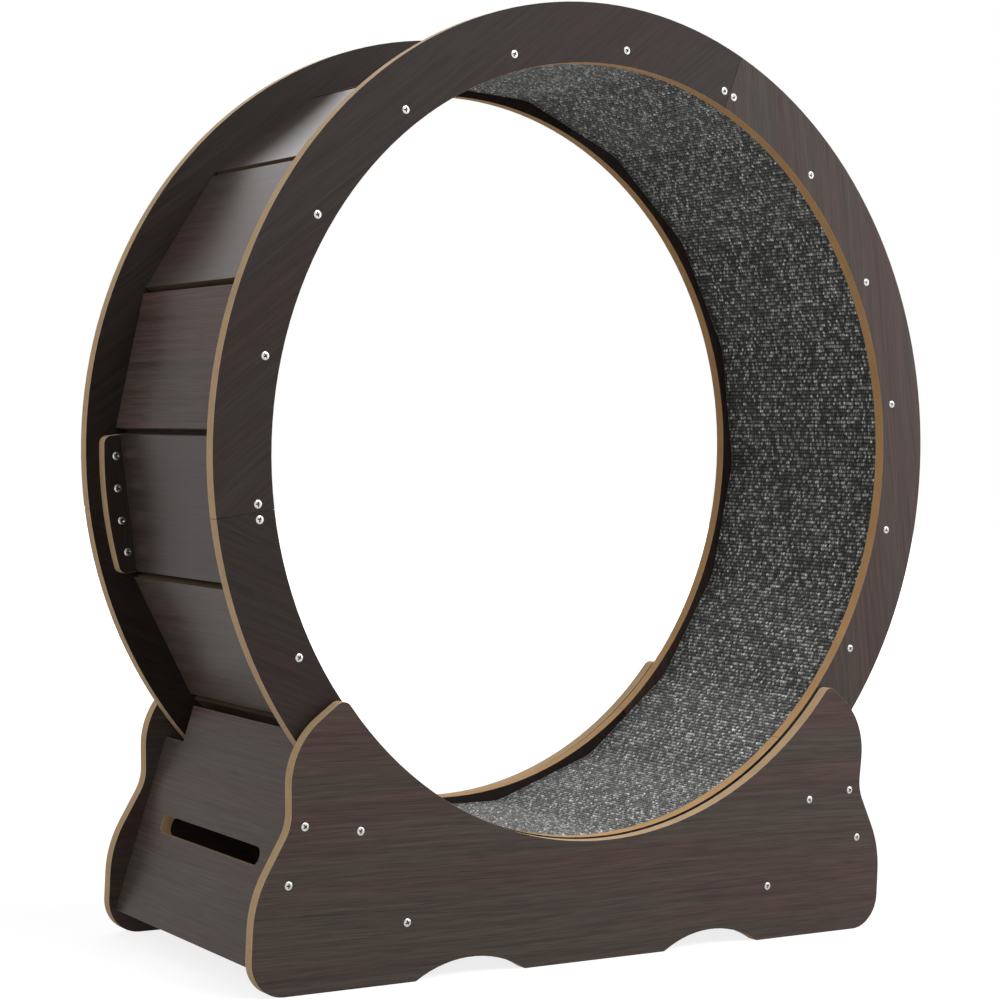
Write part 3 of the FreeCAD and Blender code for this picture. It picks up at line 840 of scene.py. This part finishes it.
@dataclass
class RunwayWheel:
    """The turning wheel: two side rings in three segments, joint plates, slats and carpet.

    Depths set how light each board's laminate is drawn. On the ring segments, the rear ring and
    the joint plates they paint light and shade: lighter on the right where the lamps fall, darker
    on the left and in the front ring's shade. The slats' vary from slat to slat. Angles are in
    degrees, from +X up.
    """

    finishes: Finishes
    body: str = "wheel"
    rest_angle: float = 10.15
    slats: int = SLATS
    # Painted shade: the rear ring is drawn darker, as it stands in the front ring's shade.
    side_shades: tuple[tuple[str, float], ...] = (("front", 1.0), ("rear", 0.85))
    # Painted light: the right segment is drawn lighter where the lamps fall, the two left segments
    # darker.
    segments: tuple[tuple[str, float], ...] = (("right", 1.10), ("top", 0.58), ("bottom", 0.52))
    joint_plates: tuple[str, ...] = ("upper", "left", "lower")
    # Painted shade: the joint plates are drawn dark, in the shade between the two rings.
    joint_plate_depth: float = 0.6
    slat_depth: float = 1.2
    slat_spread: float = 0.4
    slat_turn: float = 2.4
    slat_phase: float = 4.32
    apothem: float = CARPET_RADIUS
    pile: float = 3.0 * MM
    pile_edge: float = 2.0 * MM
    edge_round: float = 0.3
    bend: float = 70 * MM
    butt_slat: float = 9.5
    butt_gap: float = 0.5 * MM
    rows_per_slat: int = ROWS_PER_SLAT
    loops_across: int = 72
    ragged: float = 0.9 * MM
    valley: float = 1.6 * MM
    valley_spread: float = 0.2
    stray_along: float = 0.5 * MM
    stray_across: float = 0.7 * MM
    back_lean: float = 0.9
    loop_crease: float = 80.0

    def direction(self, angle: float) -> Vector:
        """The way out from the wheel's axis at an angle."""
        turn = math.radians(angle)
        return Vector((math.cos(turn), 0.0, math.sin(turn)))

    def build(self) -> None:
        """Builds the wheel's boards and its carpet."""
        third = 360 / len(self.segments)
        for side, side_shade in self.side_shades:
            for number, (place, depth) in enumerate(self.segments):
                run = self.direction(self.rest_angle + third * number + 90)
                name = f"{side}_ring_{place}"
                # The segment's painted light times its side's painted shade.
                Board(name, self.body, run, AXIS, depth * side_shade, ring=True).dress(self.finishes)
            for number, place in enumerate(self.joint_plates):
                run = self.direction(self.rest_angle + third * (number + 0.5) + 90)
                name = f"{side}_joint_plate_{place}"
                Board(name, self.body, run, AXIS, self.joint_plate_depth).dress(self.finishes)
        for number in range(self.slats):
            out = self.direction(self.rest_angle + 360 / self.slats * number)
            wave = math.sin(number * self.slat_turn - self.slat_phase)
            depth = self.slat_depth + self.slat_spread * wave
            name = f"slat_{number + 1:02d}"
            Board(name, self.body, AXIS, out, depth, satin=True, shade_painted_edges=True).dress(self.finishes)
        self.carpet()

    def carpet(self) -> None:
        """Lines the slats with a strip of carpet, its two ends butted at a slat joint."""
        low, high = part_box("carpet_lining")
        half = (high.y - low.y) / 2
        start = math.radians(self.rest_angle + 360 / self.slats * self.butt_slat)
        bm = self.wrapped_strip(start, half)
        bm.normal_update()
        for face in bm.faces:
            face.material_index = 1 if lean_out(face) > self.back_lean else 0
        crease(bm, self.loop_crease)

        def on_strip(point: Vector) -> Vector:
            """Finds a point's place on the strip.

            Args:
                point: the point.

            Returns:
                Its lengths along the strip, across it and out from the axis.
            """
            off = point - WHEEL_CENTRE
            turn = (math.atan2(off.z, off.x) - start) % math.tau
            return Vector((turn * self.apothem, off.y, math.hypot(off.x, off.z)))

        coats = (self.finishes.pile, self.finishes.backing)
        piece = Piece("carpet_strip", self.body, Slot.CARPET, coats, ("carpet_lining",))
        made = piece.place(bm, {Layer.PILE: on_strip})

    def wrapped_strip(self, start: float, half: float) -> BMesh:
        """Lays the strip round inside the slats, with ragged rows of loops on its face.

        Args:
            start: the angle of its butt joint, in radians.
            half: half its width.

        Returns:
            The strip's mesh.
        """
        edge, soft = self.pile_edge, self.pile_edge * self.edge_round
        sides = [(edge, half), (soft, half - soft), (0.0, half - edge)]
        across = 2 * len(sides) + self.loops_across - 2
        steps = 2 * self.slats * self.rows_per_slat
        bm = self.blank_strip(steps, across)
        luck = random.Random("loops")
        for vert in bm.verts:
            step = round((vert.co.x + 0.5) * steps)
            column = round((vert.co.y + 0.5) * across)
            from_side = min(column, across - column)
            turn = (math.tau - self.butt_gap / self.apothem) * step / steps
            if from_side < len(sides):
                depth, reach = sides[from_side]
                y = math.copysign(reach, vert.co.y)
            else:
                y = (column / across - 0.5) * 2 * (half - edge) * across / self.loops_across
                if step % 2:
                    depth = luck.uniform(0.0, self.ragged)
                else:
                    spread = self.valley_spread
                    depth = luck.uniform(1 - spread, 1 + spread) * self.valley
                y += luck.uniform(-1, 1) * self.stray_across
                if 0 < step < steps:
                    turn += luck.uniform(-1, 1) * self.stray_along / self.apothem
            if vert.co.z < 0:
                depth = self.pile
            angle = math.degrees(start + turn)
            radius = self.flat_radius(angle) + depth
            vert.co = WHEEL_CENTRE + self.direction(angle) * radius + AXIS * y
        return bm

    def blank_strip(self, steps: int, across: int) -> BMesh:
        """Makes a closed unit strip along X: a grid at height 0, a plain back at height -1.

        Args:
            steps: divisions along it.
            across: divisions across it.

        Returns:
            The strip.
        """
        bm = bmesh.new()
        bmesh.ops.create_grid(bm, x_segments=steps, y_segments=across, size=0.5)
        rims = [e for e in bm.edges
                if e.is_boundary and abs(e.verts[0].co.y - e.verts[1].co.y) < 1e-6]
        sunk = bmesh.ops.extrude_edge_only(bm, edges=rims)["geom"]
        foot = [v for v in sunk if isinstance(v, bmesh.types.BMVert)]
        bmesh.ops.translate(bm, verts=foot, vec=(0.0, 0.0, -1.0))
        low = [e for e in sunk if isinstance(e, bmesh.types.BMEdge) and e.is_boundary
               and max(v.co.z for v in e.verts) < -0.5]
        bmesh.ops.bridge_loops(bm, edges=low)
        bmesh.ops.holes_fill(bm, edges=[e for e in bm.edges if e.is_boundary], sides=0)
        bmesh.ops.recalc_face_normals(bm, faces=bm.faces)
        return bm

    def flat_radius(self, angle: float) -> float:
        """Finds how far the carpet's face is from the axis: flat on a slat, bent at a joint.

        Args:
            angle: where on the wheel.

        Returns:
            The distance.
        """
        half_pitch = math.pi / self.slats
        pitch = 360 / self.slats
        off = math.radians((angle - self.rest_angle + 180 / self.slats) % pitch) - half_pitch
        reach = (self.apothem - self.bend) * math.tan(half_pitch)
        if abs(off) < math.atan(reach / self.apothem):
            return self.apothem / math.cos(off)
        from_joint = half_pitch - abs(off)
        centre = (self.apothem - self.bend) / math.cos(half_pitch)
        aside = centre * math.sin(from_joint)
        return centre * math.cos(from_joint) + math.sqrt(self.bend**2 - aside**2)


@dataclass
class Base:
    """The standing base: two side plates, two leaning end panels and two stretchers."""

    finishes: Finishes
    body: str = "base"
    lean: float = 15.4
    plate_depth: float = 1.24
    panel_depth: float = 1.45

    def build(self) -> None:
        """Builds the base's boards."""
        for side in ("front", "rear"):
            name = f"{side}_side_plate"
            Board(name, self.body, ALONG_BASE, AXIS, self.plate_depth).dress(self.finishes)
        turn = math.radians(self.lean)
        for end, way in (("left", -1.0), ("right", 1.0)):
            out = Vector((way * math.cos(turn), 0.0, math.sin(turn)))
            name = f"{end}_end_panel"
            Board(name, self.body, AXIS, out, self.panel_depth, satin=True).dress(self.finishes)
            Board(f"{end}_stretcher", self.body, AXIS, ALONG_BASE).dress(self.finishes)


@dataclass(frozen=True)
class Seat:
    """Where a screw stands: its head's top, the way that looks along Y and its length."""

    top: Vector
    way: int
    length: float


@dataclass
class Screws:
    """A group of countersunk screws with raised heads and cross recesses.

    The dome's angles are in degrees and spread its outline from the middle to the rim.
    """

    finishes: Finishes
    node: str
    body: str
    head: float = 4.0 * MM
    shank: float = 1.9 * MM
    crown: float = 0.8 * MM
    rim: float = 0.12 * MM
    point: float = 1.5 * MM
    core: float = 0.15 * MM
    steps: int = 20
    dome_angles: tuple[int, ...] = (12, 25, 38, 51, 64, 77)
    arm: float = 5.4 * MM
    arm_width: float = 1.5 * MM
    recess: float = 1.9 * MM
    proud: float = 0.1 * MM
    taper: float = 0.42
    spin: float = 37.0
    end_zone: float = 2 * MM

    def seats(self) -> list[Seat]:
        """Reads the CAD node's screws; the wider end of each is its head.

        Returns:
            Their seats, in order of place.
        """
        found = []
        seeds = merged_copy(self.node)
        for island in islands(seeds):
            low, high = extent(v.co for v in island)
            middle = (low + high) / 2
            reach = {way: max(abs(v.co.x - middle.x) for v in island
                              if abs(v.co.y - y) < self.end_zone)
                     for way, y in ((-1, low.y), (1, high.y))}
            way = 1 if reach[1] > reach[-1] else -1
            top = Vector((middle.x, high.y if way > 0 else low.y, middle.z))
            found.append(Seat(top, way, high.y - low.y))
        seeds.free()
        return sorted(found, key=lambda seat: tuple(round(c, 5) for c in seat.top))

    def build(self) -> None:
        """Puts a screw on each seat."""
        seats = self.seats()
        master = baked(self.one(seats[0].length), "screw")
        bm = bmesh.new()
        flip = Matrix.Rotation(math.pi, 3, "X")
        for number, seat in enumerate(seats):
            bm.from_mesh(master)
            bm.verts.ensure_lookup_table()
            fresh = bm.verts[-len(master.vertices):]
            turn = Matrix.Rotation(math.radians(self.spin * number), 3, "Y")
            bmesh.ops.rotate(bm, verts=fresh, cent=(0, 0, 0), matrix=turn)
            if seat.way < 0:
                bmesh.ops.rotate(bm, verts=fresh, cent=(0, 0, 0), matrix=flip)
            bmesh.ops.translate(bm, verts=fresh, vec=seat.top)
        bpy.data.meshes.remove(master)
        crease(bm, 35.0)
        metals = (self.finishes.nickel, self.finishes.recess)
        Piece(self.node + "_set", self.body, Slot.SCREW, metals, (self.node,)).place(bm)

    def one(self, length: float) -> BMesh:
        """Makes a screw along Y with the top of its head at the origin.

        Args:
            length: from the head's top to the tip.

        Returns:
            The screw.
        """
        under = -self.crown - (self.head - self.shank)
        last = math.radians(self.dome_angles[-1])
        dome = []
        for angle in self.dome_angles:
            share = math.radians(angle)
            dome.append((self.head * math.sin(share) / math.sin(last),
                         -self.crown * (1 - math.cos(share)) / (1 - math.cos(last))))
        outline = [(self.core, 0.0), *dome, (self.head, -self.crown - self.rim),
                   (self.shank, under), (self.shank, -length + self.point), (self.core, -length)]
        bm = lathe(outline, Vector(), self.steps)
        self.close_ends(bm)
        screw = carved(bm, self.cross())
        screw.normal_update()
        # Painted shade: faces inside the cross recess take the near-black metal.
        for face in screw.faces:
            middle = face.calc_center_median()
            inside = math.hypot(middle.x, middle.z) < self.arm / 2
            inside = inside and middle.y > -1.1 * self.recess
            dark = inside and (abs(face.normal.y) < 0.6 or middle.y < -self.crown)
            face.material_index = 1 if dark else 0
        return screw

    def close_ends(self, bm: BMesh) -> None:
        """Closes the fine bore that the lathe leaves along a screw.

        Args:
            bm: the screw's mesh.
        """

        def near_axis(part: bmesh.types.BMEdge | bmesh.types.BMFace) -> bool:
            """Whether all points of an edge or a face are on the bore."""
            return all(math.hypot(v.co.x, v.co.z) < 0.2 * MM for v in part.verts)

        rims = {e for e in bm.edges if near_axis(e)}
        inside = [f for f in bm.faces if near_axis(f)]
        bmesh.ops.delete(bm, geom=inside, context="FACES")
        open_edges = [e for e in rims if e.is_valid and e.is_boundary]
        bmesh.ops.holes_fill(bm, edges=open_edges, sides=64)
        bmesh.ops.recalc_face_normals(bm, faces=bm.faces)

    def cross(self) -> BMesh:
        """Makes the tapered cross that is cut into the head.

        Returns:
            The cross.
        """
        long, short = self.arm / 2, self.arm_width / 2
        bm = bmesh.new()
        corners = []
        for quarter in range(4):
            turn = Matrix.Rotation(-math.radians(90 * quarter), 3, "Y")
            corners += [bm.verts.new(turn @ Vector((x, self.proud, z)))
                        for x, z in ((long, -short), (long, short), (short, short))]
        sunk = bmesh.ops.extrude_face_region(bm, geom=[bm.faces.new(corners)])["geom"]
        foot = [v for v in sunk if isinstance(v, bmesh.types.BMVert)]
        bmesh.ops.translate(bm, verts=foot, vec=(0.0, -self.recess - self.proud, 0.0))
        bmesh.ops.scale(bm, verts=foot, vec=(self.taper, 1.0, self.taper))
        bmesh.ops.recalc_face_normals(bm, faces=bm.faces)
        return bm


@dataclass
class RollerSet:
    """The four grooved rollers on their two rods, with the collars that hold them."""

    finishes: Finishes
    flange: float = 20.0 * MM
    flange_board: float = 2.0 * MM
    hub: float = 11.3 * MM
    bore: float = 4.1 * MM
    boss: float = 7.4 * MM
    boss_foot: float = 7.9 * MM
    web_reach: float = 17.0 * MM
    rim_foot: float = 17.6 * MM
    web_sink: float = 0.5 * MM
    tread: float = 13.8 * MM
    tread_soft: float = 0.7 * MM
    seat: float = 0.05 * MM
    rib: float = 1.1 * MM
    rib_foot: float = 0.7 * MM
    rib_depth: float = 0.4 * MM
    soft: float = 0.5 * MM
    rod_soft: float = 0.4 * MM
    screw_bore: float = 2.0 * MM
    screw_bore_depth: float = 25 * MM
    collar_bore: float = 4.05 * MM
    grub: float = 1.5 * MM
    grub_depth: float = 4 * MM
    roller_steps: int = 56
    rod_steps: int = 32
    collar_steps: int = 40
    round_crease: float = 50.0

    def build(self) -> None:
        """Builds rollers, treads, rods and collars."""
        for side in ("front", "rear"):
            for end in ("left", "right"):
                name = f"{side}_{end}_roller"
                self.core(name)
                self.tyre(name)
        for end in ("left", "right"):
            self.rod(f"{end}_axle")
        self.collars()

    def core(self, name: str) -> None:
        """Builds a roller's core: hub, two rounded flanges and a boss on each face.

        Args:
            name: the roller's CAD node.
        """
        low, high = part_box(name)
        half, soft = (high.y - low.y) / 2, self.soft
        sunk, inner = half - self.web_sink, half - self.flange_board
        right = [(self.bore, half), (self.boss, half), (self.boss_foot, sunk),
                 (self.web_reach, sunk), (self.rim_foot, half), (self.flange - soft, half),
                 (self.flange, half - soft), (self.flange, inner + soft),
                 (self.flange - soft, inner), (self.hub, inner)]
        bm = lathe(mirrored(right), (low + high) / 2, self.roller_steps)
        crease(bm, self.round_crease)
        Piece(name + "_core", name + "_body", Slot.NYLON, (self.finishes.nylon,), (name,)).place(bm)

    def tyre(self, name: str) -> None:
        """Builds the rubber tread in a roller's groove.

        Args:
            name: the roller's CAD node.
        """
        low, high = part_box(name + "_tyre")
        half, soft = (high.y - low.y) / 2, self.tread_soft
        right = [(self.hub + self.seat, half), (self.tread - soft, half),
                 (self.tread - soft * 0.3, half - soft * 0.3), (self.tread, half - soft),
                 (self.tread, self.rib), (self.tread - self.rib_depth, self.rib_foot)]
        bm = lathe(mirrored(right), (low + high) / 2, self.roller_steps)
        crease(bm, self.round_crease)
        rubber = (self.finishes.rubber,)
        Piece(name + "_tread", name + "_body", Slot.RUBBER, rubber, (name + "_tyre",)).place(bm)

    def rod(self, node: str) -> None:
        """Builds a drawn steel rod with eased ends, bored for its two screws.

        Args:
            node: the rod's CAD node.
        """
        low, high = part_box(node)
        radius, half = (high.x - low.x) / 2, (high.y - low.y) / 2
        right = [(self.screw_bore, half - self.screw_bore_depth), (self.screw_bore, half),
                 (radius - self.rod_soft, half), (radius, half - self.rod_soft)]
        bm = lathe(mirrored(right), (low + high) / 2, self.rod_steps)
        crease(bm, self.round_crease)
        Piece(node + "_rod", "base", Slot.STEEL, (self.finishes.steel,), (node,)).place(bm)

    def collars(self) -> None:
        """Builds the four collars on the rods, each with a grub screw's hole."""
        seeds = merged_copy("axle_collars")
        bm = bmesh.new()
        for island in islands(seeds):
            low, high = extent(v.co for v in island)
            centre = (low + high) / 2
            radius, half = (high.x - low.x) / 2, (high.y - low.y) / 2
            right = [(self.collar_bore, half), (radius - self.soft, half),
                     (radius, half - self.soft)]
            drill = bmesh.new()
            bmesh.ops.create_cone(drill, cap_ends=True, segments=6, radius1=self.grub,
                                  radius2=self.grub, depth=self.grub_depth)
            above = centre + Vector((0.0, 0.0, radius + 0.4 * MM))
            bmesh.ops.translate(drill, verts=drill.verts, vec=above)
            collar = baked(carved(lathe(mirrored(right), centre, self.collar_steps), drill),
                           "collar")
            bm.from_mesh(collar)
            bpy.data.meshes.remove(collar)
        seeds.free()
        crease(bm, 35.0)
        Piece("collar_set", "base", Slot.STEEL, (self.finishes.steel,), ("axle_collars",)).place(bm)


# Studio


@dataclass
class Lamp:
    """A soft rectangular lamp that points at the wheel."""

    name: str
    place: Triple
    width: float
    height: float
    watts: float

    def hang(self, target: Vector) -> None:
        """Adds the lamp.

        Args:
            target: the point that it looks at.
        """
        data = bpy.data.lights.new(self.name, "AREA")
        data.shape, data.energy = "RECTANGLE", self.watts
        data.size, data.size_y = self.width, self.height
        lamp = linked(self.name, data)
        lamp.location = self.place
        lamp.rotation_euler = (target - Vector(self.place)).to_track_quat("-Z", "Y").to_euler()


@dataclass
class Studio:
    """White floor and backdrop, soft lamps and the camera, whose angles are in degrees."""

    eye: Triple = (-1.3413, -1.8357, 0.4843)
    heading: float = 35.455
    pitch: float = -0.534
    roll: float = 2.563
    lens: float = 75.825
    sensor: float = 36.0
    floor_size: float = 40.0
    paper: float = 0.5
    glow: float = 1.65
    fade: tuple[float, float] = (1.0, 3.0)
    ambient: float = 0.42
    lamps: tuple[Lamp, ...] = (
        Lamp("key", (0.9, -2.4, 2.9), 2.2, 1.6, 90.0),
        Lamp("right", (2.9, -2.0, 1.3), 1.4, 1.8, 30.0),
        Lamp("left", (-3.0, -0.6, 1.8), 1.8, 2.4, 22.0),
        Lamp("back", (0.4, 2.9, 2.4), 2.4, 1.8, 45.0),
    )

    def build(self) -> None:
        """Sets up floor, world, lamps and camera."""
        bpy.context.scene.view_settings.view_transform = "Standard"
        self.floor()
        self.world()
        for lamp in self.lamps:
            lamp.hang(WHEEL_CENTRE)
        self.camera()

    def seen(self, bench: Bench) -> Wire:
        """1 for rays from the camera, reflections and glass."""
        path = bench.node("ShaderNodeLightPath", output="Is Camera Ray")
        return path.largest(path.other("Is Glossy Ray")).largest(path.other("Is Transmission Ray"))

    def floor(self) -> None:
        """A large white floor that shows the wheel's shadow."""
        bm = bmesh.new()
        bmesh.ops.create_grid(bm, x_segments=4, y_segments=4, size=self.floor_size / 2)
        mesh = baked(bm, "floor")
        material = bpy.data.materials.new("white_floor")
        bench = Bench.of(material)
        grey = (self.paper, self.paper, self.paper, 1.0)
        paper = bench.node("ShaderNodeBsdfDiffuse", {}, {"Color": grey})
        glow = bench.node("ShaderNodeEmission", {}, {"Color": WHITE, "Strength": self.glow})
        away = bench.node("ShaderNodeVectorMath", {"operation": "LENGTH"}, {0: bench.place()},
                          "Value")
        share = (0.5 + 0.5 * away.step(*self.fade)) * self.seen(bench)
        shade = bench.node("ShaderNodeMixShader", {}, {0: share, 1: paper, 2: glow})
        bench.node("ShaderNodeOutputMaterial", {}, {"Surface": shade})
        mesh.materials.append(material)
        floor = linked("floor", mesh)

    def world(self) -> None:
        """Plain light from all round, white to the camera and in reflections."""
        world = bpy.context.scene.world or bpy.data.worlds.new("studio")
        bpy.context.scene.world = world
        bench = Bench.of(world)
        strength = self.ambient + (1.0 - self.ambient) * self.seen(bench)
        sky = bench.node("ShaderNodeBackground", {}, {"Color": WHITE, "Strength": strength})
        bench.node("ShaderNodeOutputWorld", {}, {"Surface": sky})

    def camera(self) -> None:
        """The camera, where the photograph was taken from."""
        turn, tilt, roll = (math.radians(a) for a in (self.heading, self.pitch, self.roll))
        level = Vector((math.cos(turn), -math.sin(turn), 0.0))
        ahead = Vector((math.sin(turn) * math.cos(tilt), math.cos(turn) * math.cos(tilt),
                        math.sin(tilt)))
        upward = level.cross(ahead)
        right = level * math.cos(roll) + upward * math.sin(roll)
        upright = upward * math.cos(roll) - level * math.sin(roll)
        data = bpy.data.cameras.new("camera")
        data.sensor_width, data.lens = self.sensor, self.lens
        camera = linked("camera", data)
        axes = Matrix((right, upright, -ahead)).transposed().to_4x4()
        camera.matrix_world = Matrix.Translation(Vector(self.eye)) @ axes
        bpy.context.scene.camera = camera


def main() -> None:
    """Builds the looks round the CAD frame and the studio."""
    logging.basicConfig(level=logging.INFO, format="%(name)s %(message)s")
    finishes = Finishes()
    Studio().build()
    RunwayWheel(finishes).build()
    Base(finishes).build()
    RollerSet(finishes).build()
    for side in ("front", "rear"):
        Screws(finishes, f"{side}_ring_screws", "wheel").build()
        Screws(finishes, f"{side}_joint_plate_screws", "wheel").build()
        Screws(finishes, f"{side}_base_screws", "base").build()


if __name__ == "__main__":
    main()
